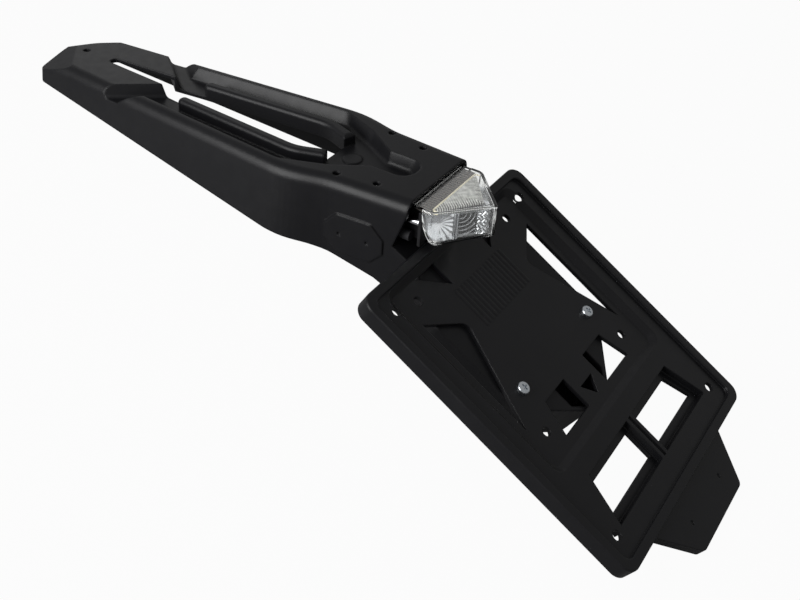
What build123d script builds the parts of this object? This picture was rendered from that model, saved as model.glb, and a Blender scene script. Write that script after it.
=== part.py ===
from build123d import *
from math import cos, pi, radians, sin
import os

os.makedirs("parts", exist_ok=True)

# Frame: X across, Y forward to the nose, Z up, origin between the front deck bolts on the deck top

# Wall thickness and clearances
wall = 3.0
screw_clearance = 0.2

# Body seen from above: half widths of the top, and how far the flanks lean out per unit of depth
nose_tip_y = 261.0
nose_half = 26.9
nose_round = 6.0
facet_drop = 2.9
facet_side = 0.25
facet_front = 0.3
knee_front_y = 44.0
knee_half = 46.1
knee_steps = 12
flank_lean = 0.156
deck_front_y = -4.0
deck_half = 40.2
rear_y = -54.5
rear_half = 36.5
bay_y = -45.5
bay_z = -34.0
edge_round = 8.0

# Lower edge of the body seen from the side
hull_depth = 90.0
skirt_nose_z = -17.3
skirt_low_y = 36.0
skirt_low_z = -45.7
waist_y = 14.0
waist_z = -49.5
neck_y = -33.6
neck_z = -61.3
skirt_round = 45.0

# Sunk middle of the body
valley_depth = 8.5
valley_slope = 5.0
valley_round = 2.5
chevron_y = 155.0
chevron_rise = 1.2
chevron_foot = 4.8
shoulder_front_y = 169.0
shoulder_ramp = 10.0
shoulder_width = 7.0
valley_bend_y = 40.0
valley_bend_half = 39.0
dish_mouth_half = 26.5
dish_mouth_y = 10.0
dish_half = 11.5
dish_neck_y = -12.0
dish_rear_y = -39.0
dish_round_share = 0.9
valley_bend_round = 15.0
badge_radius = 6.5
badge_y = 9.5
badge_height = 0.8

# Long slot and the lip ribs beside it
slot_tip_y = 216.5
slot_tip_half = 3.5
slot_step_half = 7.0
slot_front_half = 9.5
slot_bend_half = 17.0
slot_end_half = 9.5
rib_front_y = 141.5
rib_bend_y = 41.0
rib_end_y = 22.5
rib_width = 8.0
rib_drop = 0.2
rib_round = 2.8
rib_corner = 3.6
rib_bend_round = 28.0

# Bolt holes of the body
deck_hole_radius = 2.5
deck_bolt_half = 32.0
rear_bolt_half = 27.3
rear_bolt_y = -26.5
nose_hole_y = 241.0

# Turn signal pads on the flanks
pad_length = 42.0
pad_height = 28.0
pad_chamfer = 9.0
pad_rise = 1.0
pad_y = -18.5
pad_z = -36.5
pad_dimple_half = 10.0
pad_dimple_radius = 1.2

# Number plate frame, drawn on its own sloping plane
bend = 30.6
plate_y = -61.5
plate_z = -31.5
plate_width = 190.0
plate_height = 220.0
plate_corner = 9.0
rim_width = 6.5
floor_drop = 2.7
tray_drop = 6.5
frame_depth = tray_drop + wall
rim_depth = 11.5
pocket_drop = 8.0
arm_notch_gap = 1.0
tray_half = 73.3
tray_slope = 4.5
tray_top_v = 11.5
tray_bottom_v = 149.5
tray_round = 4.0
rim_round = 1.0
plate_hole_radius = 3.25
hole_relief_radius = 4.6
large_hole_half = 78.5
large_hole_v = (18.6, 199.8)
small_hole_radius = 3.0
small_hole_half = 56.6
small_hole_v = (22.8, 131.7)

# Windows of the plate frame: half widths across and distances down the plate
side_window_outer = 68.0
side_window_inner = 39.6
side_window_v = (35.0, 53.2, 122.0)
side_window_round = 6.0
top_window_outer = 46.0
top_window_inner = 24.6
top_window_v = (12.0, 30.0)
low_window_inner = 14.0
low_window_outer = (40.0, 47.0)
low_window_v = (120.0, 143.0)
notch_half = 8.0
notch_v = (131.5, 143.0)
pocket_inner = 4.0
pocket_outer = (60.5, 70.5)
pocket_v = (166.5, 199.0)
divider_groove = 2.6
hatch_inner = 5.5
hatch_outer = (57.0, 65.0)
hatch_v = (172.3, 193.3)

# Grip ribs on the plate tray
grip_half = 28.0
grip_v = (34.0, 63.0)
grip_count = 15
grip_width = 2.0
grip_rise = 0.3

# Reflector tab under the plate frame
tab_top_half = 58.8
tab_bottom_half = 33.7
tab_bottom_v = 252.2
tab_drop = 4.8
tab_round = 5.0
tab_dimple_half = 24.0
tab_dimple_v = 236.5
tab_dimple_radius = 1.5

# Support arm behind the plate frame
arm_top_v = -33.0
arm_straight_v = 8.0
arm_half = 58.5
arm_wide_v = 42.0
arm_taper_v = 101.0
arm_low_inset = 16.5
arm_low_half = arm_half - arm_low_inset
arm_low_v = 124.0
arm_tip_half = 14.0
arm_tip_v = 146.0
arm_end_depth = 27.0
arm_round = 6.0
channel_half = 23.0
channel_top_v = 14.0
channel_depth = 29.0

# Plate fixing screws
screw_inset = 12.2
screw_half = arm_half - screw_inset
screw_v = 104.3
screw_radius = 2.5
screw_head_radius = 4.3
screw_head_height = 3.0
screw_head_round = 1.4
screw_length = 12.0
cross_length = 4.4
cross_width = 1.1
cross_depth = 1.4
nut_corner_radius = 4.6
nut_height = 4.0

# Tail light
light_gap = 0.3
lens_half = 31.0
lens_front_y = plate_y
lens_shoulder_y = -69.0
lens_tip_y = -97.0
lens_top_z = -wall - light_gap
lens_bottom_z = -30.5
lens_tip_bottom_z = -25.5
lens_wall = 2.2
lens_end_round = 6.0
lens_low_round = 5.0
lens_top_round = 1.5
strip_half = 30.0
strip_thickness = 3.0
flange_thickness = 2.0
base_half = 24.5
base_top_z = -7.5
base_bottom_z = -30.0
bracket_y = -46.5
bracket_half = 32.0
bracket_bevel = 4.0
bracket_bottom_z = -31.0
bracket_thickness = 3.0
post_x = 28.2
post_z = -15.0
post_radius = 2.6
lower_post_z = -27.0
lower_post_radius = 3.4
lower_post_length = 7.0
reflector_thickness = 1.6
wing_thickness = 1.2
wing_setback = 8.0
board_half = 20.0
board_thickness = 1.2
board_top_z = -9.0
board_bottom_z = -21.0
led_size = 3.2
led_height = 1.0
led_count = 5
led_pitch = 8.0
diffuser_half = 26.5
diffuser_front_y = -66.5
diffuser_thickness = 1.5

# Sloping planes of the plate: rim front, tray floor, back of the frame
plate_plane = Plane((0, plate_y, plate_z), (1, 0, 0), (0, -sin(radians(bend)), cos(radians(bend))))
floor_plane = plate_plane.offset(-floor_drop)
tray_plane = plate_plane.offset(-tray_drop)
back_plane = plate_plane.offset(-frame_depth)
rim_back_plane = plate_plane.offset(-rim_depth)
pocket_plane = plate_plane.offset(-pocket_drop)
arm_back_plane = back_plane.offset(-wall)
plate_axis = Axis(plate_plane.origin, plate_plane.z_dir)
diffuser_bottom_z = lens_top_z - lens_wall - diffuser_thickness


def polygon(points):
    with BuildSketch() as face:
        with BuildLine():
            Polyline(*points, close=True)
        make_face()
    return face.sketch


def both_sides(points):
    with BuildSketch() as face:
        add(polygon(points))
        mirror(about=Plane.YZ)
    return face.sketch


def flank(y):
    return knee_half - (knee_half - nose_half) * (y - knee_front_y) / (nose_tip_y - knee_front_y)


def deck_side(y):
    return deck_half - (deck_half - rear_half) * (deck_front_y - y) / (deck_front_y - rear_y)


def knee_turn(y):
    share = min(1, max(0, (y - deck_front_y) / (knee_front_y - deck_front_y)))
    return (1 - cos(pi * share)) / 2


def hull_section(y, inset):
    lean = flank_lean * knee_turn(y)
    half = deck_side(y) + (flank(y) - deck_side(y)) * knee_turn(y) - inset
    with BuildSketch() as face:
        right = [(half + lean * inset, -inset), (half + lean * hull_depth, -hull_depth)]
        add(both_sides([(0, -inset)] + right + [(0, -hull_depth)]))
        fillet(face.vertices().group_by(Axis.Y)[-1], edge_round - inset)
    return face.sketch


def hull(inset):
    step = (knee_front_y - deck_front_y) / knee_steps
    stations = [nose_tip_y - inset] + [knee_front_y - step * i for i in range(knee_steps + 1)]
    stations.append(rear_y - 3 * inset)
    with BuildPart() as shell:
        for y in stations:
            with BuildSketch(Plane.XZ.offset(-y)):
                add(hull_section(y, inset))
        loft(ruled=True)
        front = shell.faces().sort_by(Axis.Y)[-1].edges()
        fillet(front.filter_by(lambda e: e.center().Z > -0.9 * hull_depth), nose_round - inset)
        for side in (1, -1):
            facet = Plane((0, nose_tip_y, -facet_drop), z_dir=(side * facet_side, facet_front, 1))
            with BuildSketch(facet.offset(-inset)):
                Rectangle(2 * plate_width, 2 * plate_width)
            extrude(amount=hull_depth, mode=Mode.SUBTRACT)
    return shell.part


def arm_outline(inset):
    with BuildSketch() as face:
        half = [
            (0, -arm_top_v),
            (rear_half, -arm_top_v),
            (rear_half, -arm_straight_v),
            (arm_half, -arm_wide_v),
            (arm_half, -arm_taper_v),
            (arm_low_half, -arm_low_v),
            (arm_tip_half, -arm_tip_v),
            (0, -arm_tip_v),
        ]
        add(both_sides(half))
        fillet(face.vertices().filter_by(lambda v: v.Y < -arm_straight_v + 0.1), arm_round)
        if inset > 0:
            offset(amount=-inset, mode=Mode.REPLACE)
            with Locations((0, -arm_top_v)):
                Rectangle(2 * (rear_half - inset), 4 * inset)
    return face.sketch


def channel_outline(inset):
    top = -channel_top_v + wall - inset
    with BuildSketch() as face:
        with Locations((0, (top - arm_tip_v) / 2)):
            Rectangle(2 * (channel_half + wall - inset), top + arm_tip_v)
        add(arm_outline(inset), mode=Mode.INTERSECT)
    return face.sketch


def valley_outline(share, reach):
    inset = valley_slope * share
    chevron = chevron_y - chevron_foot * share
    shoulder = shoulder_front_y + shoulder_ramp * share
    crest = flank(shoulder_front_y)
    dish = dish_half - inset / 2
    with BuildSketch() as face:
        half = [
            (0, chevron),
            (reach, chevron + chevron_rise * reach),
            (reach, shoulder + chevron_rise * (reach - crest)),
            (crest - shoulder_width - inset, shoulder - chevron_rise * (shoulder_width + inset)),
            (valley_bend_half - inset, valley_bend_y - inset),
            (dish_mouth_half - inset, dish_mouth_y),
            (dish, dish_neck_y),
            (dish, dish_rear_y + inset),
            (0, dish_rear_y + inset),
        ]
        add(both_sides(half))
        fillet(face.vertices().filter_by(lambda v: v.Y < dish_neck_y - 1), dish_round_share * dish)
        fillet(face.vertices().filter_by(lambda v: abs(v.Y - valley_bend_y + inset) < 0.1), valley_bend_round)
    return face.sketch


def valley_tray():
    with BuildPart() as tray:
        with BuildSketch(Plane.XY.offset(-valley_depth - wall)):
            add(valley_outline(-wall / 2 / valley_slope, knee_half))
        extrude(amount=valley_depth + wall / 2)
        add(hull(0), mode=Mode.INTERSECT)
    return tray.part


def valley_space():
    with BuildPart() as space:
        with BuildSketch(Plane.XY.offset(-valley_depth)):
            add(valley_outline(1, knee_half))
        with BuildSketch(Plane.XY):
            add(valley_outline(0, knee_half))
        loft(ruled=True)
        fillet(space.faces().sort_by(Axis.Z)[0].edges(), valley_round)
    return space.part


def slot_outline():
    with BuildSketch() as face:
        half = [
            (0, slot_tip_y),
            (slot_tip_half, slot_tip_y),
            (slot_step_half, chevron_y + chevron_rise * slot_step_half),
            (slot_front_half, rib_front_y),
            (slot_bend_half, rib_bend_y),
            (slot_end_half, rib_end_y),
            (0, rib_end_y),
        ]
        add(both_sides(half))
        fillet(face.vertices().filter_by(lambda v: abs(v.Y - slot_tip_y) < 0.1), slot_tip_half * 0.9)
        fillet(face.vertices().filter_by(lambda v: abs(v.Y - rib_bend_y) < 0.1), rib_bend_round)
    return face.sketch


def lip_ribs():
    lean = (slot_bend_half - slot_end_half) / (rib_bend_y - rib_end_y)
    half = [
        (slot_front_half, rib_front_y),
        (slot_front_half + rib_width, rib_front_y),
        (slot_bend_half + rib_width, rib_bend_y),
        (slot_end_half + rib_width, rib_end_y - lean * rib_width),
        (slot_end_half, rib_end_y),
        (slot_bend_half, rib_bend_y),
    ]
    with BuildPart() as ribs:
        with BuildSketch(Plane.XY.offset(-valley_depth - wall / 2)):
            add(both_sides(half))
        extrude(amount=valley_depth + wall / 2 - rib_drop)
        uprights = ribs.edges().filter_by(Axis.Z)
        fillet(uprights.filter_by(lambda e: e.center().Y > rib_bend_y + rib_corner), rib_corner)
        uprights = ribs.edges().filter_by(Axis.Z)
        fillet(uprights.filter_by(lambda e: abs(e.center().Y - rib_bend_y) < 0.1), rib_bend_round)
        fillet(ribs.faces().filter_by(Axis.Z).group_by(Axis.Z)[-1].edges(), rib_round)
    return ribs.part


def pad_plane(side):
    taper = (deck_half - rear_half) / (deck_front_y - rear_y)
    return Plane((side * deck_side(pad_y), pad_y, pad_z), (-side * taper, -1, 0), (side, -taper, 0))


def tray_outline(grow):
    middle = -(tray_top_v + tray_bottom_v) / 2
    with BuildSketch() as face:
        with Locations((0, middle)):
            RectangleRounded(2 * (tray_half + grow), tray_bottom_v - tray_top_v + 2 * grow, tray_round + grow)
    return face.sketch


def pocket_outline(grow):
    half = [
        (pocket_inner - grow, -pocket_v[0] + grow),
        (pocket_outer[0] + grow, -pocket_v[0] + grow),
        (pocket_outer[1] + grow, -pocket_v[1] - grow),
        (pocket_inner - grow, -pocket_v[1] - grow),
    ]
    return both_sides(half)


def windows():
    side_upper, side_point, side_lower = side_window_v
    with BuildSketch() as face:
        add(polygon([(side_window_outer, -side_upper), (side_window_inner, -side_point), (side_window_outer, -side_lower)]))
        fillet(face.vertices().sort_by(Axis.X)[0], side_window_round)
        add(polygon([
            (top_window_inner, -top_window_v[0]),
            (top_window_outer, -top_window_v[0]),
            (top_window_inner, -top_window_v[1]),
        ]))
        add(polygon([
            (hatch_inner, -hatch_v[0]),
            (hatch_outer[0], -hatch_v[0]),
            (hatch_outer[1], -hatch_v[1]),
            (hatch_inner, -hatch_v[1]),
        ]))
        add(polygon([
            (low_window_inner, -low_window_v[0]),
            (low_window_outer[0], -low_window_v[0]),
            (low_window_outer[1], -low_window_v[1]),
            (low_window_inner, -low_window_v[1]),
        ]))
        mirror(about=Plane.YZ)
        add(polygon([(-notch_half, -notch_v[0]), (notch_half, -notch_v[0]), (0, -notch_v[1])]))
    return face.sketch


def upright(half, bottom, top):
    with BuildSketch() as face:
        with Locations((0, (bottom + top) / 2)):
            Rectangle(2 * half, top - bottom)
    return face.sketch


def lens_outline(inset):
    front = lens_front_y + inset
    slant = (lens_shoulder_y - lens_tip_y) / lens_half
    tip = lens_tip_y + inset * (1 + slant ** 2) ** 0.5
    shoulder = tip + slant * (lens_half - inset)
    return both_sides([(0, front), (lens_half - inset, front), (lens_half - inset, shoulder), (0, tip)])


def lens_block(inset):
    rear = lens_tip_y - lens_half
    with BuildPart() as block:
        with BuildSketch(Plane.XY.offset(lens_bottom_z)):
            add(lens_outline(inset))
        extrude(amount=lens_top_z - lens_bottom_z)
        with BuildSketch(Plane.YZ):
            slope = (lens_tip_bottom_z - lens_bottom_z) / (lens_tip_y - lens_front_y)
            front = (lens_front_y + inset, lens_bottom_z + slope * inset + inset)
            back = (rear, lens_bottom_z + slope * (rear - lens_front_y) + inset)
            add(polygon([front, back, (rear, lens_top_z - inset), (lens_front_y + inset, lens_top_z - inset)]))
        extrude(amount=lens_half, both=True, mode=Mode.INTERSECT)
    return block.part


def light_bay():
    with BuildPart() as bay:
        with BuildSketch(Plane.YZ):
            depth = bay_y - rear_y + wall
            far = rear_y - 3 * depth
            low = bay_z - 2 * depth
            add(polygon([(rear_y, -edge_round), (bay_y, bay_z), (bay_y, low), (far, low), (far, -edge_round)]))
        extrude(amount=knee_half, both=True)
        with BuildSketch(back_plane):
            Rectangle(plate_width, plate_height)
        extrude(amount=-hull_depth, mode=Mode.SUBTRACT)
    return bay.part


def reflector_wings():
    slant = (lens_shoulder_y - lens_tip_y) / lens_half
    rear = lens_tip_y + wing_setback + wing_thickness
    root = lens_front_y - reflector_thickness
    across = (root - rear) / slant
    depth = wing_thickness * (1 + slant ** 2) ** 0.5
    return both_sides([(0, rear), (across, root), (across - depth / slant, root), (0, rear + depth)])


# Body: one black moulding, open below, that runs on as the arm behind the plate frame
with BuildPart() as main_body:
    add(hull(0))
    with BuildSketch(back_plane):
        add(arm_outline(0))
    extrude(amount=-hull_depth)
    with BuildSketch(Plane.YZ) as side_profile:
        arm_end = arm_back_plane.offset(wall - arm_end_depth + frame_depth)
        tip = (arm_end * Pos(0, -arm_tip_v, 0)).position
        slope = (neck_z - tip.Z) / (neck_y - tip.Y)
        past_tip = (tip.Y - 2 * wall, tip.Z - 2 * wall * slope)
        nose_low = (nose_tip_y, skirt_nose_z)
        low = (skirt_low_y, skirt_low_z)
        waist = (waist_y, waist_z)
        neck = (neck_y, neck_z)
        add(polygon([(nose_tip_y, 0), nose_low, low, waist, neck, past_tip, (past_tip[0], 0)]))
        bends = side_profile.vertices().filter_by(lambda v: v.X in (skirt_low_y, waist_y))
        fillet(bends, skirt_round)
    extrude(amount=plate_width, both=True, mode=Mode.INTERSECT)
    add(hull(wall), mode=Mode.SUBTRACT)
    with BuildSketch(arm_back_plane):
        add(arm_outline(wall))
    extrude(amount=-hull_depth, mode=Mode.SUBTRACT)
    with BuildSketch(back_plane):
        add(arm_outline(0))
    extrude(amount=-wall)
    # Deep channel down the middle of the arm
    with BuildSketch(back_plane):
        add(channel_outline(0))
    extrude(amount=-channel_depth - wall)
    with BuildSketch(back_plane):
        add(channel_outline(wall))
    extrude(amount=-channel_depth, mode=Mode.SUBTRACT)
    # Slanting cut that leaves the flanks open beside the light
    add(light_bay(), mode=Mode.SUBTRACT)
    # Tray under the valley
    add(valley_tray())
    # Valley with sloping walls, open to both flanks behind the chevron step
    add(valley_space(), mode=Mode.SUBTRACT)
    # Plain round pad on the valley floor
    with BuildSketch(Plane.XY.offset(-valley_depth)):
        with Locations((0, badge_y)):
            Circle(badge_radius)
    extrude(amount=badge_height)
    # Lip ribs
    add(lip_ribs())
    with BuildSketch(Plane.XY):
        add(slot_outline())
    extrude(amount=-valley_depth - wall, mode=Mode.SUBTRACT)
    # Bolt holes through the deck and the nose
    with BuildSketch(Plane.XY):
        with Locations((deck_bolt_half, 0), (-deck_bolt_half, 0)):
            Circle(deck_hole_radius)
        with Locations((rear_bolt_half, rear_bolt_y), (-rear_bolt_half, rear_bolt_y)):
            Circle(deck_hole_radius)
        with Locations((0, nose_hole_y)):
            Circle(deck_hole_radius)
    extrude(amount=-2 * wall, mode=Mode.SUBTRACT)
    # Turn signal pads on both flanks
    for side in (1, -1):
        flank_plane = pad_plane(side)
        with BuildSketch(flank_plane) as pad:
            Rectangle(pad_length, pad_height)
            chamfer(pad.vertices(), pad_chamfer)
        extrude(amount=pad_rise)
        with BuildSketch(flank_plane.offset(pad_rise)):
            with GridLocations(2 * pad_dimple_half, 0, 2, 1):
                Circle(pad_dimple_radius)
        extrude(amount=-pad_rise, mode=Mode.SUBTRACT)
    # Holes for the plate fixing screws
    with BuildSketch(back_plane):
        with Locations((screw_half, -screw_v), (-screw_half, -screw_v)):
            Circle(screw_radius + screw_clearance)
    extrude(amount=-wall, mode=Mode.SUBTRACT)
main_body.part.label = "main_body"
export_step(main_body.part, "parts/main_body.step")


# Number plate frame: one moulding with rim, sunk tray, windows and reflector tab
with BuildPart() as plate_frame:
    with BuildSketch(rim_back_plane):
        with Locations((0, -plate_height / 2)):
            RectangleRounded(plate_width, plate_height, plate_corner)
    extrude(amount=rim_depth)
    with BuildSketch(floor_plane):
        with Locations((0, -plate_height / 2)):
            RectangleRounded(plate_width - 2 * rim_width, plate_height - 2 * rim_width, plate_corner - wall)
    extrude(amount=floor_drop, mode=Mode.SUBTRACT)
    rim_edges = plate_frame.faces().sort_by(plate_axis)[-1].edges()
    fillet(rim_edges, rim_round)
    # Hollow back between the outer wall and the tray
    with BuildSketch(rim_back_plane):
        with Locations((0, -plate_height / 2)):
            RectangleRounded(plate_width - 2 * wall, plate_height - 2 * wall, plate_corner - wall)
    extrude(amount=rim_depth - floor_drop - wall, mode=Mode.SUBTRACT)
    with BuildSketch(back_plane):
        add(tray_outline(wall))
    extrude(amount=frame_depth - floor_drop)
    with BuildSketch(pocket_plane.offset(-wall)):
        add(pocket_outline(wall))
    extrude(amount=pocket_drop + wall - floor_drop)
    # Notch in the upper wall for the arm
    with BuildSketch(back_plane):
        Rectangle(2 * (rear_half + arm_notch_gap), 4 * wall)
    extrude(amount=frame_depth - rim_depth, mode=Mode.SUBTRACT)
    # Sunk tray with sloping walls and two sunk pockets below it
    with BuildSketch(tray_plane):
        add(tray_outline(0))
    with BuildSketch(floor_plane):
        add(tray_outline(tray_slope))
    loft(ruled=True, mode=Mode.SUBTRACT)
    with BuildSketch(floor_plane):
        add(pocket_outline(0))
    extrude(amount=floor_drop - pocket_drop, mode=Mode.SUBTRACT)
    # Windows through the tray and the pockets
    with BuildSketch(tray_plane):
        add(windows())
    extrude(amount=-rim_depth, mode=Mode.SUBTRACT)
    # Nut clearance behind the wide plate holes
    with BuildSketch(floor_plane.offset(-wall)):
        for v in large_hole_v:
            with Locations((large_hole_half, -v), (-large_hole_half, -v)):
                Circle(hole_relief_radius)
    extrude(amount=-rim_depth, mode=Mode.SUBTRACT)
    # Groove down the divider between the pockets
    with BuildSketch(floor_plane):
        with Locations((0, -sum(pocket_v) / 2)):
            Rectangle(divider_groove, pocket_v[1] - pocket_v[0])
    extrude(amount=-divider_groove / 2, mode=Mode.SUBTRACT)
    # Grip ribs across the middle of the tray
    with BuildSketch(tray_plane):
        with Locations((0, -sum(grip_v) / 2)):
            with GridLocations(2 * grip_half / (grip_count - 1), 0, grip_count, 1):
                Rectangle(grip_width, grip_v[1] - grip_v[0])
    extrude(amount=grip_rise)
    # Reflector tab
    with BuildSketch(rim_back_plane) as tab:
        top_v = plate_height - wall
        add(both_sides([(0, -top_v), (tab_top_half, -top_v), (tab_bottom_half, -tab_bottom_v), (0, -tab_bottom_v)]))
        fillet(tab.vertices().filter_by(lambda v: abs(v.Y + tab_bottom_v) < 0.1), tab_round)
    extrude(amount=rim_depth - tab_drop)
    with BuildSketch(plate_plane.offset(-tab_drop)):
        with Locations((tab_dimple_half, -tab_dimple_v), (-tab_dimple_half, -tab_dimple_v)):
            Circle(tab_dimple_radius)
    extrude(amount=-tab_dimple_radius / 2, mode=Mode.SUBTRACT)
    # Plate holes: a wide pattern in the floor, a narrow one in the tray, and the fixing screws
    with BuildSketch(plate_plane):
        for v in large_hole_v:
            with Locations((large_hole_half, -v), (-large_hole_half, -v)):
                Circle(plate_hole_radius)
        for v in small_hole_v:
            with Locations((small_hole_half, -v), (-small_hole_half, -v)):
                Circle(small_hole_radius)
        with Locations((screw_half, -screw_v), (-screw_half, -screw_v)):
            Circle(screw_radius + screw_clearance)
    extrude(amount=-frame_depth, mode=Mode.SUBTRACT)
plate_frame.part.label = "plate_frame"
export_step(plate_frame.part, "parts/plate_frame.step")

# Plate fixing screws: zinc pan heads with a cross recess
with BuildPart() as plate_screws:
    with BuildSketch(tray_plane):
        with Locations((screw_half, -screw_v), (-screw_half, -screw_v)):
            Circle(screw_head_radius)
    extrude(amount=screw_head_height)
    head_rims = plate_screws.faces().group_by(plate_axis)[-1].edges()
    fillet(head_rims, screw_head_round)
    with BuildSketch(tray_plane.offset(screw_head_height)):
        with Locations((screw_half, -screw_v), (-screw_half, -screw_v)):
            Rectangle(cross_length, cross_width)
            Rectangle(cross_width, cross_length)
    extrude(amount=-cross_depth, mode=Mode.SUBTRACT)
    with BuildSketch(tray_plane):
        with Locations((screw_half, -screw_v), (-screw_half, -screw_v)):
            Circle(screw_radius)
    extrude(amount=-screw_length)
plate_screws.part.label = "plate_screws"
export_step(plate_screws.part, "parts/plate_screws.step")

# Hex nuts behind the arm
with BuildPart() as plate_nuts:
    with BuildSketch(arm_back_plane):
        with Locations((screw_half, -screw_v), (-screw_half, -screw_v)):
            RegularPolygon(nut_corner_radius, 6)
            Circle(screw_radius, mode=Mode.SUBTRACT)
    extrude(amount=-nut_height)
plate_nuts.part.label = "plate_nuts"
export_step(plate_nuts.part, "parts/plate_nuts.step")


# Light housing: black bracket under the deck, carrying the base and the rim the lens sits on
with BuildPart() as light_housing:
    with BuildSketch(Plane.XZ.offset(-bracket_y)) as bracket:
        add(upright(bracket_half, bracket_bottom_z, -wall))
        chamfer(bracket.vertices(), bracket_bevel)
    extrude(amount=-bracket_thickness)
    with BuildSketch(Plane.XZ.offset(-bracket_y)):
        add(upright(base_half, base_bottom_z, base_top_z))
    extrude(amount=bracket_y - lens_front_y)
    with BuildSketch(Plane.XZ.offset(-lens_front_y)):
        add(upright(lens_half, lens_bottom_z, lens_top_z - strip_thickness - light_gap))
    extrude(amount=-flange_thickness)
light_housing.part.label = "light_housing"
export_step(light_housing.part, "parts/light_housing.step")

# Upper light posts: bright tubes between the bracket and the lens rim
with BuildPart() as light_posts:
    with BuildSketch(Plane.XZ.offset(-bracket_y)):
        with Locations((post_x, post_z), (-post_x, post_z)):
            Circle(post_radius)
    extrude(amount=bracket_y - lens_front_y - flange_thickness)
light_posts.part.label = "light_posts"
export_step(light_posts.part, "parts/light_posts.step")

# Lower light posts: short dark stubs on the bracket
with BuildPart() as light_stubs:
    with BuildSketch(Plane.XZ.offset(-bracket_y)):
        with Locations((post_x, lower_post_z), (-post_x, lower_post_z)):
            Circle(lower_post_radius)
    extrude(amount=lower_post_length)
light_stubs.part.label = "light_stubs"
export_step(light_stubs.part, "parts/light_stubs.step")

# Clear lens: hollow arrow shape with a flat strip that closes the gap to the deck
with BuildPart() as light_lens:
    add(lens_block(0))
    uprights = light_lens.edges().filter_by(Axis.Z)
    fillet(uprights.filter_by(lambda e: e.center().Y < lens_front_y - 1), lens_end_round)
    low_edges = light_lens.faces().sort_by(Axis.Z)[0].edges()
    fillet(low_edges.filter_by(lambda e: e.center().Y < lens_front_y - 1), lens_low_round)
    top_edges = light_lens.faces().sort_by(Axis.Z)[-1].edges()
    fillet(top_edges.filter_by(lambda e: e.center().Y < lens_front_y - 1), lens_top_round)
    add(lens_block(lens_wall), mode=Mode.SUBTRACT)
    with BuildSketch(Plane.XY.offset(lens_top_z)):
        strip_length = rear_y - light_gap - lens_front_y
        with Locations((0, lens_front_y + strip_length / 2)):
            Rectangle(2 * strip_half, strip_length)
    extrude(amount=-strip_thickness)
light_lens.part.label = "light_lens"
export_step(light_lens.part, "parts/light_lens.step")

# Bright reflector: back plate and two slanted wings inside the lens
with BuildPart() as light_reflector:
    with BuildSketch(Plane.XZ.offset(-lens_front_y)):
        add(upright(lens_half - lens_wall - light_gap, lens_bottom_z + 2 * lens_wall, diffuser_bottom_z))
    extrude(amount=reflector_thickness)
    with BuildSketch(Plane.XY.offset(lens_tip_bottom_z + lens_wall)):
        add(reflector_wings())
    extrude(amount=diffuser_bottom_z - lens_tip_bottom_z - lens_wall)
light_reflector.part.label = "light_reflector"
export_step(light_reflector.part, "parts/light_reflector.step")

# Frosted diffuser under the top of the lens
with BuildPart() as light_diffuser:
    with BuildSketch(Plane.XY.offset(diffuser_bottom_z)):
        reach = lens_tip_y + 2 * lens_wall + lens_end_round
        add(both_sides([(0, diffuser_front_y), (diffuser_half, diffuser_front_y), (0, reach)]))
    extrude(amount=diffuser_thickness)
light_diffuser.part.label = "light_diffuser"
export_step(light_diffuser.part, "parts/light_diffuser.step")

# Circuit board on the reflector plate
board_plane = Plane.XZ.offset(-lens_front_y + reflector_thickness)
with BuildPart() as light_board:
    with BuildSketch(board_plane):
        add(upright(board_half, board_bottom_z, board_top_z))
    extrude(amount=board_thickness)
light_board.part.label = "light_board"
export_step(light_board.part, "parts/light_board.step")

# Row of small lamps on the board
with BuildPart() as light_leds:
    with BuildSketch(board_plane.offset(board_thickness)):
        with Locations((0, (board_top_z + board_bottom_z) / 2)):
            with GridLocations(led_pitch, 0, led_count, 1):
                Rectangle(led_size, led_size)
    extrude(amount=led_height)
light_leds.part.label = "light_leds"
export_step(light_leds.part, "parts/light_leds.step")
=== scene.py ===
import bpy
import numpy as np
from mathutils import Matrix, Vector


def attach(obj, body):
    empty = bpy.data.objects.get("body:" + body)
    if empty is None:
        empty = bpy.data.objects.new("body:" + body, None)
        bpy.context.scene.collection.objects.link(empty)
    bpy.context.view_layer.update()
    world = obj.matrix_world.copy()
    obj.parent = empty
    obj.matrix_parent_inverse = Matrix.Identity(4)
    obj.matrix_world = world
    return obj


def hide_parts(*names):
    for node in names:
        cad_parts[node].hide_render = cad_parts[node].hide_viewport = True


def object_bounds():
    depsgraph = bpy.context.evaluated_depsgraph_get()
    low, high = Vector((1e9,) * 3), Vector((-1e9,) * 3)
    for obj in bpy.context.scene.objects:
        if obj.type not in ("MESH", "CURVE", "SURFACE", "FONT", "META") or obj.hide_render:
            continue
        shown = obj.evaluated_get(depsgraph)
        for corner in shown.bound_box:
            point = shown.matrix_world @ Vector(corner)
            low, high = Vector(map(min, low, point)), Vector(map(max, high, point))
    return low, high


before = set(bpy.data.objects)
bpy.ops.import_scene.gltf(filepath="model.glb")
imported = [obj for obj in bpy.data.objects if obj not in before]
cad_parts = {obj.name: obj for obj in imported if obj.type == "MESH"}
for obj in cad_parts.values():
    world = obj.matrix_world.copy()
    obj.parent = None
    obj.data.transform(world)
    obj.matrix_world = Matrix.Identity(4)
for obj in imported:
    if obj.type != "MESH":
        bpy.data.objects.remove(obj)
cad_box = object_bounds()


# Body: one long polypropylene moulding with nose, sunk middle, deck and the arm behind the plate.
# It is injection moulded in black in a spark-eroded tool, which leaves a satin grain.
# It bolts up under the tail of the bike through the deck.
mm = 0.001


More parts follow.
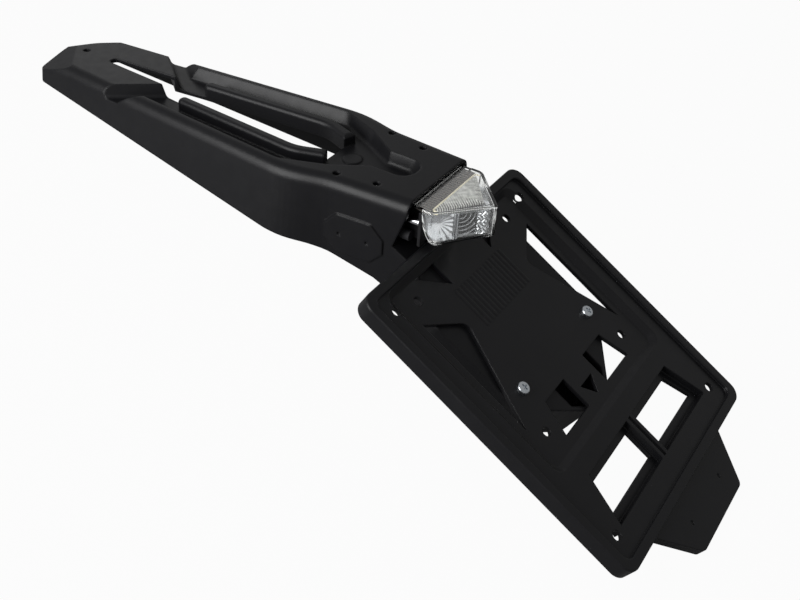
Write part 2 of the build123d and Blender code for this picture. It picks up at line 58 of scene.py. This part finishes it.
def linear(hex_colour):
    """sRGB hex to linear light: v / 12.92 in the toe, ((v + 0.055) / 1.055) to the power 2.4 above it."""
    v = np.array([int(hex_colour[i:i + 2], 16) for i in (1, 3, 5)]) / 255
    return tuple(np.where(v <= 0.04045, v / 12.92, ((v + 0.055) / 1.055) ** 2.4)) + (1.0,)


def add_node(material, kind, inputs=None, **settings):
    """Adds one node of a kind, gives it its settings, and sets or links its inputs."""
    node = material.node_tree.nodes.new(kind)
    for setting, value in settings.items():
        setattr(node, setting, value)
    for socket, value in (inputs or {}).items():
        if isinstance(value, bpy.types.NodeSocket):
            material.node_tree.links.new(value, node.inputs[socket])
        else:
            node.inputs[socket].default_value = value
    return node


def new_material(name):
    """An empty node material, and the place on the object that its patterns read."""
    material = bpy.data.materials.new(name)
    material.use_nodes = True
    material.node_tree.nodes.clear()
    place = add_node(material, "ShaderNodeTexCoord").outputs["Object"]
    return material, place


def moulded_plastic(name, dark, light, smooth, rough, grain, depth, specular, edge):
    """Black moulded plastic: flow marks shift its colour and broad patches its gloss. A grain of the given
    size and depth in mm roughens it, and its edges catch light as if turned to the given radius in mm."""
    flow_length = 30 * mm
    patch_width = 7 * mm
    material, place = new_material(name)
    flow = add_node(material, "ShaderNodeTexNoise", {
        "Vector": place, "Scale": 1 / flow_length, "Detail": 3.0})
    colour = add_node(material, "ShaderNodeMix", {
        "Factor": flow.outputs["Fac"], 6: linear(dark), 7: linear(light)}, data_type="RGBA")
    patches = add_node(material, "ShaderNodeTexNoise", {
        "Vector": place, "Scale": 1 / patch_width, "Detail": 4.0})
    gloss = add_node(material, "ShaderNodeMapRange", {
        "Value": patches.outputs["Fac"],
        "From Min": 0.3, "From Max": 0.7, "To Min": smooth, "To Max": rough})
    pits = add_node(material, "ShaderNodeTexNoise", {
        "Vector": place, "Scale": 1 / (grain * mm), "Detail": 2.0})
    turned = add_node(material, "ShaderNodeBevel", {"Radius": edge * mm}, samples=4)
    bump = add_node(material, "ShaderNodeBump", {
        "Height": pits.outputs["Fac"], "Strength": 0.35, "Distance": depth * mm,
        "Normal": turned.outputs[0]})
    shader = add_node(material, "ShaderNodeBsdfPrincipled", {
        "Base Color": colour.outputs[2], "Roughness": gloss.outputs[0], "Normal": bump.outputs[0],
        "IOR": 1.49, "Specular IOR Level": specular})
    add_node(material, "ShaderNodeOutputMaterial", {"Surface": shader.outputs[0]})
    return material


def dress(node, material):
    """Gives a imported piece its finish, in place of the one it came with."""
    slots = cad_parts[node].data.materials
    slots.clear()
    slots.append(material)


# Satin black that catches the light along its edges. The grain is about 0.3 mm on the real moulding and is
# drawn at 0.9 mm, because finer grain doesn't show.
body_plastic = moulded_plastic(
    "moulded_polypropylene", "#0f0f11", "#151517", smooth=0.32, rough=0.38,
    grain=0.9, depth=0.03, specular=0.2, edge=2.0)
dress("main_body", body_plastic)


# Plate frame: a second polypropylene moulding, with rim, sunk tray, windows and reflector tab.
# It comes from a smoother tool than the body, so it looks flatter, with thin bright edges.
# It is held to the arm by two screws.
frame_plastic = moulded_plastic(
    "moulded_polypropylene_smooth", "#101012", "#161618", smooth=0.28, rough=0.38,
    grain=1.2, depth=0.02, specular=0.26, edge=1.2)
dress("plate_frame", frame_plastic)


# Fixing screws and nuts: cold headed steel, zinc plated and passivated.
# The plating is bright with a faint cold cast, over fine marks left by the tools.
# The screws hold the plate frame to the arm, and the nuts sit behind it.
def plated_metal(name, dark, light, smooth, rough):
    """Plated metal: blotches shift the plating's colour and gloss, over fine marks left by the tools."""
    blotch_width = 2 * mm
    mark_width = 0.4 * mm
    mark_depth = 0.02 * mm
    material, place = new_material(name)
    blotch = add_node(material, "ShaderNodeTexNoise", {
        "Vector": place, "Scale": 1 / blotch_width, "Detail": 3.0})
    colour = add_node(material, "ShaderNodeMix", {
        "Factor": blotch.outputs["Fac"], 6: linear(dark), 7: linear(light)}, data_type="RGBA")
    gloss = add_node(material, "ShaderNodeMapRange", {
        "Value": blotch.outputs["Fac"],
        "From Min": 0.3, "From Max": 0.7, "To Min": smooth, "To Max": rough})
    marks = add_node(material, "ShaderNodeTexNoise", {
        "Vector": place, "Scale": 1 / mark_width, "Detail": 1.0})
    bump = add_node(material, "ShaderNodeBump", {
        "Height": marks.outputs["Fac"], "Strength": 0.2, "Distance": mark_depth})
    shader = add_node(material, "ShaderNodeBsdfPrincipled", {
        "Base Color": colour.outputs[2], "Roughness": gloss.outputs[0], "Normal": bump.outputs[0],
        "Metallic": 1.0})
    add_node(material, "ShaderNodeOutputMaterial", {"Surface": shader.outputs[0]})
    return material


zinc_steel = plated_metal("zinc_plated_steel", "#b6bcc2", "#e2e7eb", smooth=0.2, rough=0.34)
dress("plate_screws", zinc_steel)
dress("plate_nuts", zinc_steel)


# Light housing: black ABS base and bracket that hang under the deck and carry the lens.
# It is moulded with a plain matt skin, since most of it is out of sight.
housing_plastic = moulded_plastic(
    "moulded_abs", "#0e0e10", "#141416", smooth=0.45, rough=0.6,
    grain=0.8, depth=0.04, specular=0.3, edge=0.5)
dress("light_housing", housing_plastic)


# Light posts: turned brass tubes, chrome plated, between the bracket and the rim of the lens.
# They are bright, with fine marks left by the lathe.
bright_posts = plated_metal("chrome_plated_brass", "#c4c6ca", "#e4e5e8", smooth=0.08, rough=0.18)
dress("light_posts", bright_posts)


# Light stubs: short rubber grommets pushed on to the bracket.
# The rubber is dull and slightly dusty.
dark_rubber = moulded_plastic(
    "moulded_rubber", "#17171a", "#2a2a2c", smooth=0.6, rough=0.8,
    grain=0.7, depth=0.08, specular=0.3, edge=0.4)
dress("light_stubs", dark_rubber)


# Reflector: a shaped vee of ABS and the plate behind it, vacuum metallised with aluminium.
# Each side of the vee has a fluted bowl at its end, two upright ridges, a panel of round steps, and facets.
# It is painted bright over the bowl as a reflection and along the crests of its ridges, facets and rounds as
# highlights, and darker elsewhere. The plate seats on the housing.
rim_y = -61.5
foot_fall = 0.1408
slant_across = 0.742
slant_along = 0.670


def slab(name, face, back, tone, material):
    """Closed sheet: a grid of points in mm on its face, a matching grid on its back, and a wall round the
    edge. The face looks along its rows crossed with its columns. Tone goes from 0 to 1 at each point."""
    sharp_degrees = 50
    rows, columns = face.shape[:2]
    grid = np.arange(rows * columns).reshape(rows, columns)
    corners = [grid[:-1, :-1], grid[1:, :-1], grid[1:, 1:], grid[:-1, 1:]]
    quads = np.stack(corners, axis=-1).reshape(-1, 4)
    rim = np.concatenate([grid[:, 0], grid[-1, 1:], grid[-2::-1, -1], grid[0, -2::-1]])
    wall = np.stack([rim[1:], rim[:-1], rim[:-1] + grid.size, rim[1:] + grid.size], axis=-1)
    faces = np.concatenate([quads, quads[:, ::-1] + grid.size, wall])
    points = np.concatenate([face.reshape(-1, 3), back.reshape(-1, 3)]) * mm
    mesh = bpy.data.meshes.new(name)
    mesh.from_pydata(points.tolist(), [], faces.tolist())
    mesh.attributes.new("tone", "FLOAT", "POINT").data.foreach_set("value", np.tile(tone.ravel(), 2))
    mesh.shade_smooth()
    mesh.set_sharp_from_angle(angle=np.radians(sharp_degrees))
    mesh.materials.append(material)
    piece = bpy.data.objects.new(name, mesh)
    bpy.context.scene.collection.objects.link(piece)
    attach(piece, "root")
    return piece


def step(value, low, high):
    """Smooth step from 0 below low to 1 above high: 3 t squared less 2 t cubed."""
    t = np.clip((value - low) / (high - low), 0, 1)
    return t * t * (3 - 2 * t)


def toned(name, dark, light, smooth, rough, metal, haze_width):
    """Finish that runs from dark to light with the piece's tone, with haze of the given width in mm in its
    gloss and as a fine bump."""
    haze_depth = 0.03 * mm
    material, place = new_material(name)
    tone = add_node(material, "ShaderNodeAttribute", attribute_name="tone")
    colour = add_node(material, "ShaderNodeMix", {
        "Factor": tone.outputs["Fac"], 6: linear(dark), 7: linear(light)}, data_type="RGBA")
    haze = add_node(material, "ShaderNodeTexNoise", {
        "Vector": place, "Scale": 1 / (haze_width * mm), "Detail": 3.0})
    gloss = add_node(material, "ShaderNodeMapRange", {
        "Value": haze.outputs["Fac"],
        "From Min": 0.3, "From Max": 0.7, "To Min": smooth, "To Max": rough})
    bump = add_node(material, "ShaderNodeBump", {
        "Height": haze.outputs["Fac"], "Strength": 0.2, "Distance": haze_depth})
    shader = add_node(material, "ShaderNodeBsdfPrincipled", {
        "Base Color": colour.outputs[2], "Roughness": gloss.outputs[0], "Normal": bump.outputs[0],
        "Metallic": metal})
    add_node(material, "ShaderNodeOutputMaterial", {"Surface": shader.outputs[0]})
    return material


def vee_relief(out, high, foot):
    """Height of the vee's face in mm, and its tone, at a run out from the tip and at a level.
    Bowl: a paraboloid with cosine flutes round its middle. Ridges: two bell curves. Panel: sunk, with squared
    cosine steps round one corner. Facets: two bent sine waves, multiplied and made positive."""
    bowl_out = 32
    bowl_level = -14.5
    bowl_radius = 9.5
    bowl_depth = 1.6
    flute_count = 17
    flute_height = 0.26
    reach = np.hypot(out - bowl_out, high - bowl_level) / bowl_radius
    turn = np.arctan2(high - bowl_level, out - bowl_out)
    in_bowl = step(out, 22.6, 23.4)
    off_end = 1 - step(out, 36.2, 39.0)
    fluted = step(reach, 0.2, 0.7) * np.clip(0.2 - np.cos(turn - np.pi / 4), 0.1, 1)
    flutes = flute_height * fluted * np.cos(flute_count * turn)
    bowl = flutes - bowl_depth * np.clip(1 - reach ** 2, 0, 1)

    ridge_height = 0.9
    ridge_width = 0.45
    inner_ridge = np.exp(-((out - 20.4) / ridge_width) ** 2)
    outer_ridge = np.exp(-((out - 22.2) / ridge_width) ** 2)
    ridges = ridge_height * (inner_ridge + outer_ridge)

    round_out = 17.5
    round_level = -9.5
    round_pitch = 2.9
    round_height = 0.5
    panel_depth = 1.3
    panel_run = step(out, 8.0, 8.8) * (1 - step(out, 18.6, 19.4))
    in_panel = panel_run * step(high - foot, 1.0, 1.8) * step(-high, 8.2, 9.0)
    round_reach = np.hypot(out - round_out, high - round_level)
    rounds = np.clip(np.cos(2 * np.pi * round_reach / round_pitch), 0, 1) ** 2
    panel = round_height * rounds - panel_depth

    facet_height = 0.9
    facet_length = 2.4
    facet_rise = 2.8
    in_facets = step(out, 0.8, 1.6) * (1 - step(out, 7.4, 8.2))
    waves_out = np.sin(np.pi * out / facet_length + np.sin(1.3 * high))
    waves_up = np.sin(np.pi * high / facet_rise + np.sin(1.7 * out))
    facets = facet_height * np.abs(waves_out * waves_up)

    relief = in_bowl * off_end * bowl + ridges + in_panel * panel + in_facets * facets
    # Painted light: the bowl is painted bright as a reflection, the crests of ridges, facets and round steps
    # get painted highlights, and the rest is darker.
    base_tone = 0.22
    tone = base_tone + (1 - base_tone) * in_bowl + 0.7 * ridges + in_facets * facets
    tone = tone - in_panel * (base_tone - 0.5 * rounds)
    return relief, np.clip(tone, 0, 1)


def shaped_vee():
    """Face, back and tone of the vee. Its plan is two straight runs out from the tip on each side, and each
    column rises from the foot to the top. The foot falls towards the rim, and turns up at each end by a
    quarter ellipse. The face stands out from the plan by the relief, square to the slant."""
    plan_run = (0, 35.8, 39.6)
    face_x = (0, 26.6, 27.7)
    face_y = (-90.8, -67.0, -63.4)
    back_x = (0, 24.9, 27.45)
    back_y = (-87.9, -65.5, -63.25)
    top = -7.3
    foot_at_rim = -27.9
    end_run = 11
    end_rise = 10
    columns = 81
    along = np.linspace(-plan_run[2], plan_run[2], 361)[:, None] * np.ones(columns)
    out = np.abs(along)
    side = np.sign(along)
    plan_x = side * np.interp(out, plan_run, face_x)
    plan_y = np.interp(out, plan_run, face_y)
    end_turn = np.clip((out - (plan_run[2] - end_run)) / end_run, 0, 1)
    foot = foot_at_rim - foot_fall * (plan_y - rim_y) + end_rise * (1 - np.sqrt(1 - end_turn ** 2))
    high = foot + (top - foot) * np.linspace(0, 1, columns)
    relief, tone = vee_relief(out, high, foot)
    face = [plan_x + side * slant_along * relief, plan_y - slant_across * relief, high]
    back = [side * np.interp(out, plan_run, back_x), np.interp(out, plan_run, back_y), high]
    return np.stack(face, axis=-1), np.stack(back, axis=-1), tone


def turned_plate():
    """Face and back of the flat plate. Each column rises from the foot to the top, and the foot turns up at
    the lower corners by a quarter circle, to clear the ends of the lens."""
    half_width = 27.2
    corner = 9
    lowest = -26.1
    top = -7
    thickness = 1.6
    columns = 41
    across = np.linspace(-half_width, half_width, 161)[:, None] * np.ones(columns)
    turn = np.clip((np.abs(across) - (half_width - corner)) / corner, 0, 1)
    foot = lowest + corner * (1 - np.sqrt(1 - turn ** 2))
    high = foot + (top - foot) * np.linspace(0, 1, columns)
    face = np.stack([across, np.full_like(across, rim_y - thickness), high], axis=-1)
    back = np.stack([across, np.full_like(across, rim_y), high], axis=-1)
    return face, back


# Reflector finish whose colour carries painted highlights and a painted reflection, set by each piece's tone.
metallised_painted_light = toned(
    "metallised_abs_painted_light", "#18191b", "#eceef2", smooth=0.1, rough=0.22, metal=0.75, haze_width=0.8)
vee_face, vee_back, vee_tone = shaped_vee()
vee = slab("reflector_vee", vee_face, vee_back, vee_tone, metallised_painted_light)
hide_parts("light_reflector")
plate_face, plate_back = turned_plate()
plate_tone = np.ones(plate_face.shape[:2])
slab("reflector_plate", plate_face, plate_back, plate_tone, metallised_painted_light)


# Diffuser: sheet of frosted polycarbonate under the top of the lens, with a moulded bead along its front.
# Its fine ribs lie square to the two rear edges, and are drawn coarser than they are so that they show.
# The sheet is milky, with painted highlights on its rib crests and painted shade in the troughs, strongest
# beside the rear edges. Its clear bead is painted pale yellow for the light it gathers, with a painted
# highlight along its top.
def ribbed_sheet():
    """Face, back and tone of the sheet, a triangle with rounded front corners: an exponential takes them off.
    Ribs are a cosine along the slant, deep beside the rear edges by a bell curve. A swirl of two bent sine
    waves clouds the tone."""
    front_y = -66.7
    length = 19.85
    front_half = 26.3
    corner = 2.2
    top = -5.62
    base = -6.95
    rib_pitch = 1.55
    rib_depth = 0.25
    columns = 281
    down = np.linspace(0, 0.985, 111)[:, None] * np.ones(columns)
    half = front_half * (1 - down) - corner * np.exp(-down / 0.06)
    x = half * np.linspace(-1, 1, columns)
    y = front_y - length * down
    ribs = np.cos(2 * np.pi * (slant_across * np.abs(x) + slant_along * y) / rib_pitch)
    from_edge = (half - np.abs(x)) * 0.6
    deep = 0.1 + 0.9 * np.exp(-(from_edge / 4.5) ** 2)
    swirl = np.sin(0.9 * x + 1.3 * np.sin(0.8 * y)) * np.sin(0.7 * y + 1.1 * np.sin(0.5 * x))
    # Painted light: the tone is lighter on the rib crests and darker in the troughs, most beside the rear
    # edges.
    tone = np.clip(0.7 + 0.75 * ribs * deep - 0.25 * deep + 0.2 * swirl, 0, 1)
    face = np.stack([x, y, top - rib_depth * (1 - ribs) * deep], axis=-1)
    back = np.stack([x, y, np.full_like(x, base)], axis=-1)
    return face, back, tone


def edge_bead():
    """Upper and lower skin and tone of the bead: half an ellipse carried along a path. The path is straight,
    turns back at each end by a quarter circle and runs on a little."""
    straight_half = 24.2
    corner = 2.0
    turned_run = 27.34
    path_half = 28.6
    path_y = -65.95
    path_z = -5.92
    half_width = 0.65
    half_height = 0.3
    columns = 17
    along = np.linspace(-path_half, path_half, 241)[:, None] * np.ones(columns)
    out = np.abs(along)
    side = np.sign(along)
    turn = np.clip((out - straight_half) / corner, 0, np.pi / 2)
    x = side * (np.minimum(out, straight_half) + corner * np.sin(turn))
    y = path_y - corner * (1 - np.cos(turn)) - np.clip(out - turned_run, 0, None)
    roll = np.linspace(np.pi, 0, columns)
    path = np.stack([x, y, np.full_like(x, path_z)], axis=-1)
    sideways = np.stack([side * np.sin(turn), np.cos(turn), np.zeros_like(turn)], axis=-1)
    middle = path + sideways * (half_width * np.cos(roll))[:, None]
    upward = np.array((0, 0, half_height))
    upper = middle + upward * np.sin(roll)[:, None]
    lower = middle - upward * (0.02 + np.sin(roll)[:, None])
    # Painted highlight: the tone is lightest along the top of the bead and darker down its sides.
    return upper, lower, 0.5 + 0.5 * np.sin(roll) * np.ones_like(x)


frosted = toned(
    "frosted_polycarbonate", "#2c2c29", "#f6f6f2", smooth=0.35, rough=0.55, metal=0.0, haze_width=1.5)
sheet_face, sheet_back, sheet_tone = ribbed_sheet()
sheet = slab("ribbed_diffuser", sheet_face, sheet_back, sheet_tone, frosted)
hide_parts("light_diffuser")
# The bead is painted pale yellow for the light its clear edge gathers.
bead_painted_light = toned(
    "polycarbonate_painted_edge_light", "#f0dfae", "#fff6dc", smooth=0.2, rough=0.35, metal=0.0, haze_width=0.8)
bead_upper, bead_lower, bead_tone = edge_bead()
slab("diffuser_bead", bead_upper, bead_lower, bead_tone, bead_painted_light)


# Mask: thin ABS sheet under the flat strip of the lens, which hides the joint between lens and housing.
# It is moulded in brown-grey with fine ribs that run forward, drawn coarser than they are so that they show.
# It lies loose between strip and housing, with painted highlights on its rib crests and painted shade
# darkening it towards the deck.
def ribbed_mask():
    """Face, back and tone of the mask: a flat oblong with cosine ribs across it. The tone is painted light:
    lighter on the rib crests, and darkened by painted shade towards the front by a smooth step."""
    half_width = 28.4
    front_y = -55.0
    rear_y = -65.1
    middle = -6.43
    base = -6.56
    rib_pitch = 2.4
    rib_height = 0.07
    rows = 9
    columns = 521
    x = np.linspace(-half_width, half_width, columns) * np.ones(rows)[:, None]
    y = np.linspace(front_y, rear_y, rows)[:, None] * np.ones(columns)
    ribs = np.cos(2 * np.pi * x / rib_pitch)
    painted_shade = 0.1 + 0.9 * step(-y, 55.6, 59.5)
    face = np.stack([x, y, middle + rib_height * ribs], axis=-1)
    back = np.stack([x, y, np.full_like(x, base)], axis=-1)
    return face, back, (0.5 + 0.5 * ribs) * painted_shade


mask_plastic = toned(
    "ribbed_abs", "#141210", "#6c645d", smooth=0.4, rough=0.55, metal=0.0, haze_width=1.2)
mask_face, mask_back, mask_tone = ribbed_mask()
slab("strip_mask", mask_face, mask_back, mask_tone, mask_plastic)


# Circuit board and lamps: glass fibre board with a white solder mask, and five surface mounted lamps.
# The board sits on the reflector's plate, and its weave shows faintly through the coating.
def coated_board(name, dark, light):
    """Coated board or lamp: a checked weave shows faintly through the coating, as colour and as bump."""
    weave_pitch = 0.8 * mm
    weave_depth = 0.02 * mm
    material, place = new_material(name)
    weave = add_node(material, "ShaderNodeTexChecker", {"Vector": place, "Scale": 1 / weave_pitch})
    colour = add_node(material, "ShaderNodeMix", {
        "Factor": weave.outputs["Fac"], 6: linear(dark), 7: linear(light)}, data_type="RGBA")
    bump = add_node(material, "ShaderNodeBump", {
        "Height": weave.outputs["Fac"], "Strength": 0.2, "Distance": weave_depth})
    shader = add_node(material, "ShaderNodeBsdfPrincipled", {
        "Base Color": colour.outputs[2], "Roughness": 0.4, "Normal": bump.outputs[0], "IOR": 1.5})
    add_node(material, "ShaderNodeOutputMaterial", {"Surface": shader.outputs[0]})
    return material


board_coating = coated_board("coated_glass_fibre", "#d6d9d4", "#e4e6e1")
dress("light_board", board_coating)
lamp_resin = coated_board("lamp_resin", "#e6d27c", "#efe0a0")
dress("light_leds", lamp_resin)


# Lens: clear polycarbonate moulding, an arrow from above with round ends, and a flat strip up to the deck.
# It is polished inside and out, with slow waves left by the flow of the melt, and a pale painted highlight
# along the edges of its hollow.
# It clips on to the rim of the housing.
def clear_plastic(name, clear):
    """Clear plastic: waves from moulding bend what shows through it and dull its gloss a little. A pale
    painted highlight lies along the edges of its hollow, where its rounded normal leaves its flat one, and
    not along the strip."""
    wave_length = 4 * mm
    wave_height = 0.08 * mm
    highlight_reach = 1.6 * mm
    hollow_from = -64.5 * mm
    strip_from = -63 * mm
    material, place = new_material(name)
    waves = add_node(material, "ShaderNodeTexNoise", {
        "Vector": place, "Scale": 1 / wave_length, "Detail": 2.0})
    gloss = add_node(material, "ShaderNodeMapRange", {
        "Value": waves.outputs["Fac"],
        "From Min": 0.3, "From Max": 0.7, "To Min": 0.01, "To Max": 0.06})
    bump = add_node(material, "ShaderNodeBump", {
        "Height": waves.outputs["Fac"], "Strength": 0.25, "Distance": wave_height})
    shader = add_node(material, "ShaderNodeBsdfPrincipled", {
        "Base Color": linear(clear), "Roughness": gloss.outputs[0], "Normal": bump.outputs[0],
        "IOR": 1.58, "Transmission Weight": 1.0})
    turned = add_node(material, "ShaderNodeBevel", {"Radius": highlight_reach}, samples=8)
    straight = add_node(material, "ShaderNodeNewGeometry")
    agree = add_node(material, "ShaderNodeVectorMath", {
        0: turned.outputs[0], 1: straight.outputs["Normal"]}, operation="DOT_PRODUCT")
    highlight_share = add_node(material, "ShaderNodeMapRange", {
        "Value": agree.outputs["Value"],
        "From Min": 0.99, "From Max": 0.88, "To Min": 0.0, "To Max": 0.6})
    along_part = add_node(material, "ShaderNodeSeparateXYZ", {"Vector": place})
    hollow = add_node(material, "ShaderNodeMapRange", {
        "Value": along_part.outputs["Y"],
        "From Min": hollow_from, "From Max": strip_from, "To Min": 1.0, "To Max": 0.0})
    edges = add_node(material, "ShaderNodeMath", {
        0: highlight_share.outputs[0], 1: hollow.outputs[0]}, operation="MULTIPLY")
    # Painted highlight: a pale, half-clear shader mixed in along the edges of the hollow.
    painted_highlight = add_node(material, "ShaderNodeBsdfPrincipled", {
        "Base Color": linear("#f1f3f1"), "Roughness": 0.5, "IOR": 1.58, "Transmission Weight": 0.4})
    with_highlight = add_node(material, "ShaderNodeMixShader", {
        0: edges.outputs[0], 1: shader.outputs[0], 2: painted_highlight.outputs[0]})
    add_node(material, "ShaderNodeOutputMaterial", {"Surface": with_highlight.outputs[0]})
    return material


def lens_skin(inset, top, top_round, tip_round, end_round, rise):
    """One skin of the lens, set in from the outline by the inset. The outline is walked from the tip: small
    strides are summed along a heading that turns at the tip and at the shoulder. Each column goes back along
    the top from the strip, over the top edge, down the wall, round the foot and forward along the bottom.
    Lower on the wall the outline stops shorter of its end, by a quarter ellipse."""
    outline_run = 48.4
    turns_at = (0, 2.2, 38.15, 44.0, outline_run)
    headings = np.radians((0, 42.1, 42.1, 90, 90))
    tip_y = -95.94
    stride = 0.01
    strip_y = -54.8
    strip_half = 30.8
    bottom_half = 25
    foot_at_rim = -30.5
    end_short = 15
    end_high = 23
    columns = 281
    flat_rows = 18
    walk = np.linspace(0, outline_run, 4841)
    heading = np.interp(walk, turns_at, headings)
    walk_x = np.cumsum(np.cos(heading)) * stride
    walk_y = tip_y + np.cumsum(np.sin(heading)) * stride
    spread = np.linspace(-1, 1, columns)
    out = np.abs(spread)
    lowest = out * outline_run - end_short * out ** 3
    foot = foot_at_rim + rise - foot_fall * (np.interp(lowest, walk, walk_y) - rim_y)

    low_round = tip_round + (end_round - tip_round) * step(out, 0.05, 0.35)
    quarter = np.linspace(0, np.pi / 2, 9)[:, None]
    down = np.linspace(0, 1, 25)[1:-1, None]
    over_z = top - top_round * (1 - np.cos(quarter)) * np.ones(columns)
    wall_z = (top - top_round) * (1 - down) + (foot + low_round) * down
    under_z = foot + low_round * (1 - np.sin(quarter))
    skin_z = np.concatenate([over_z, wall_z, under_z])
    over_in = top_round * (1 - np.sin(quarter)) * np.ones(columns)
    under_in = low_round * (1 - np.cos(quarter))
    set_in = inset + np.concatenate([over_in, np.zeros_like(wall_z), under_in])
    drop = np.clip((foot + end_high - skin_z) / end_high, 0, 1)
    short = end_short * (1 - np.sqrt(1 - drop ** 2))
    place = out * outline_run - short * out ** 3
    turn = np.interp(place, walk, heading)
    skin_x = np.sign(spread) * (np.interp(place, walk, walk_x) - set_in * np.sin(turn))
    skin_y = np.minimum(np.interp(place, walk, walk_y) + set_in * np.cos(turn), rim_y)

    back = np.linspace(0, 1, flat_rows + 1)[:-1, None]
    ahead = back + 1 / flat_rows
    top_x = (strip_half - inset - top_round) * spread * (1 - back) + skin_x[0] * back
    top_y = strip_y * (1 - back) + skin_y[0] * back
    low_x = (bottom_half - inset) * spread * ahead + skin_x[-1] * (1 - ahead)
    low_y = rim_y * ahead + skin_y[-1] * (1 - ahead)
    low_z = skin_z[-1] - foot_fall * (low_y - skin_y[-1])
    x = np.concatenate([top_x, skin_x, low_x])
    y = np.concatenate([top_y, skin_y, low_y])
    z = np.concatenate([np.full_like(top_x, top), skin_z, low_z])
    return np.stack([x, y, z], axis=-1)


lens_plastic = clear_plastic("clear_polycarbonate", "#fafbfa")
lens_face = lens_skin(inset=0, top=-3.3, top_round=1.8, tip_round=2.4, end_round=4.0, rise=0)
lens_back = lens_skin(inset=2.2, top=-5.5, top_round=0.5, tip_round=0.6, end_round=1.8, rise=1.7)
lens_tone = np.ones(lens_face.shape[:2])
lens = slab("arrow_lens", lens_face, lens_back, lens_tone, lens_plastic)
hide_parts("light_lens")


# Floor: a sheet of white studio paper under the part.
# It stays white to the camera and through the lens, and keeps a faint shadow.
def shown_rays(material):
    """1 for rays from the camera or through the lens and 0 for others: the larger of the two marks."""
    rays = add_node(material, "ShaderNodeLightPath")
    return add_node(material, "ShaderNodeMath", {
        0: rays.outputs["Is Camera Ray"], 1: rays.outputs["Is Transmission Ray"]}, operation="MAXIMUM")


floor_half = 6
floor_gap = 0.5 * mm
white_share = 0.96
floor_z = cad_box[0][2] - floor_gap
floor_corners = [(-floor_half, -floor_half, floor_z), (floor_half, -floor_half, floor_z),
                 (floor_half, floor_half, floor_z), (-floor_half, floor_half, floor_z)]
floor_mesh = bpy.data.meshes.new("studio_floor")
floor_mesh.from_pydata(floor_corners, [], [(0, 1, 2, 3)])
floor = bpy.data.objects.new("studio_floor", floor_mesh)
bpy.context.scene.collection.objects.link(floor)
paper_white = new_material("studio_paper")[0]
floor_mesh.materials.append(paper_white)
paper_shown = shown_rays(paper_white)
paper_share = add_node(paper_white, "ShaderNodeMath", {
    0: paper_shown.outputs[0], 1: white_share}, operation="MULTIPLY")
paper_matt = add_node(paper_white, "ShaderNodeBsdfDiffuse", {"Color": linear("#868686")})
paper_glow = add_node(paper_white, "ShaderNodeEmission", {"Color": linear("#ffffff"), "Strength": 1.0})
paper_mixed = add_node(paper_white, "ShaderNodeMixShader", {
    0: paper_share.outputs[0], 1: paper_matt.outputs[0], 2: paper_glow.outputs[0]})
add_node(paper_white, "ShaderNodeOutputMaterial", {"Surface": paper_mixed.outputs[0]})


# Studio: dim even surroundings, a large soft box on the near side, and a weak one beyond the far side.
# The surroundings stay white to the camera and through the lens.
world = bpy.data.worlds.new("studio")
world.use_nodes = True
world.node_tree.nodes.clear()
world_shown = shown_rays(world)
world_level = add_node(world, "ShaderNodeMapRange", {
    "Value": world_shown.outputs[0], "To Min": 0.35, "To Max": 1.0})
surround = add_node(world, "ShaderNodeBackground", {
    "Color": linear("#ffffff"), "Strength": world_level.outputs[0]})
add_node(world, "ShaderNodeOutputWorld", {"Surface": surround.outputs[0]})
bpy.context.scene.world = world


def soft_box(name, place, target, size, watts):
    """Square area lamp at a place. Its back points from the target to the place, its side is the part's
    length crossed with its back, and its top is square to both."""
    lamp = bpy.data.lights.new(name, "AREA")
    lamp.size = size
    lamp.energy = watts
    box = bpy.data.objects.new(name, lamp)
    bpy.context.scene.collection.objects.link(box)
    back = np.subtract(place, target)
    back = back / np.linalg.norm(back)
    side = np.cross((0, 1, 0), back)
    side = side / np.linalg.norm(side)
    turn = np.eye(4)
    turn[:3, :4] = np.column_stack([side, np.cross(back, side), back, place])
    box.matrix_world = Matrix(turn.tolist())


soft_box("soft_box_near", place=(-1.15, 0.5, 0.52), target=(0, 0, 0), size=1.1, watts=28)
soft_box("soft_box_far", place=(0.82, 1.05, 0.62), target=(0, 0.2, 0), size=0.6, watts=0.6)


# Camera: at the photograph's angle, above the near rear corner and rolled as it was held.
# Its place, line of sight and upward direction were worked out from the photograph.
camera_place = (-0.5168, -0.3284, 0.3492)
sight = np.array((0.6911, 0.3954, -0.605))
upward = (0.4903, 0.3585, 0.7944)
camera_data = bpy.data.cameras.new("camera")
camera_data.sensor_width = 36
camera_data.lens = 49.5
camera_data.clip_start = 0.01
camera = bpy.data.objects.new("camera", camera_data)
bpy.context.scene.collection.objects.link(camera)
sight = sight / np.linalg.norm(sight)
right = np.cross(sight, upward)
right = right / np.linalg.norm(right)
pose = np.eye(4)
pose[:3, :4] = np.column_stack([right, np.cross(right, sight), -sight, camera_place])
camera.matrix_world = Matrix(pose.tolist())
bpy.context.scene.camera = camera
bpy.context.scene.view_settings.view_transform = "Standard"
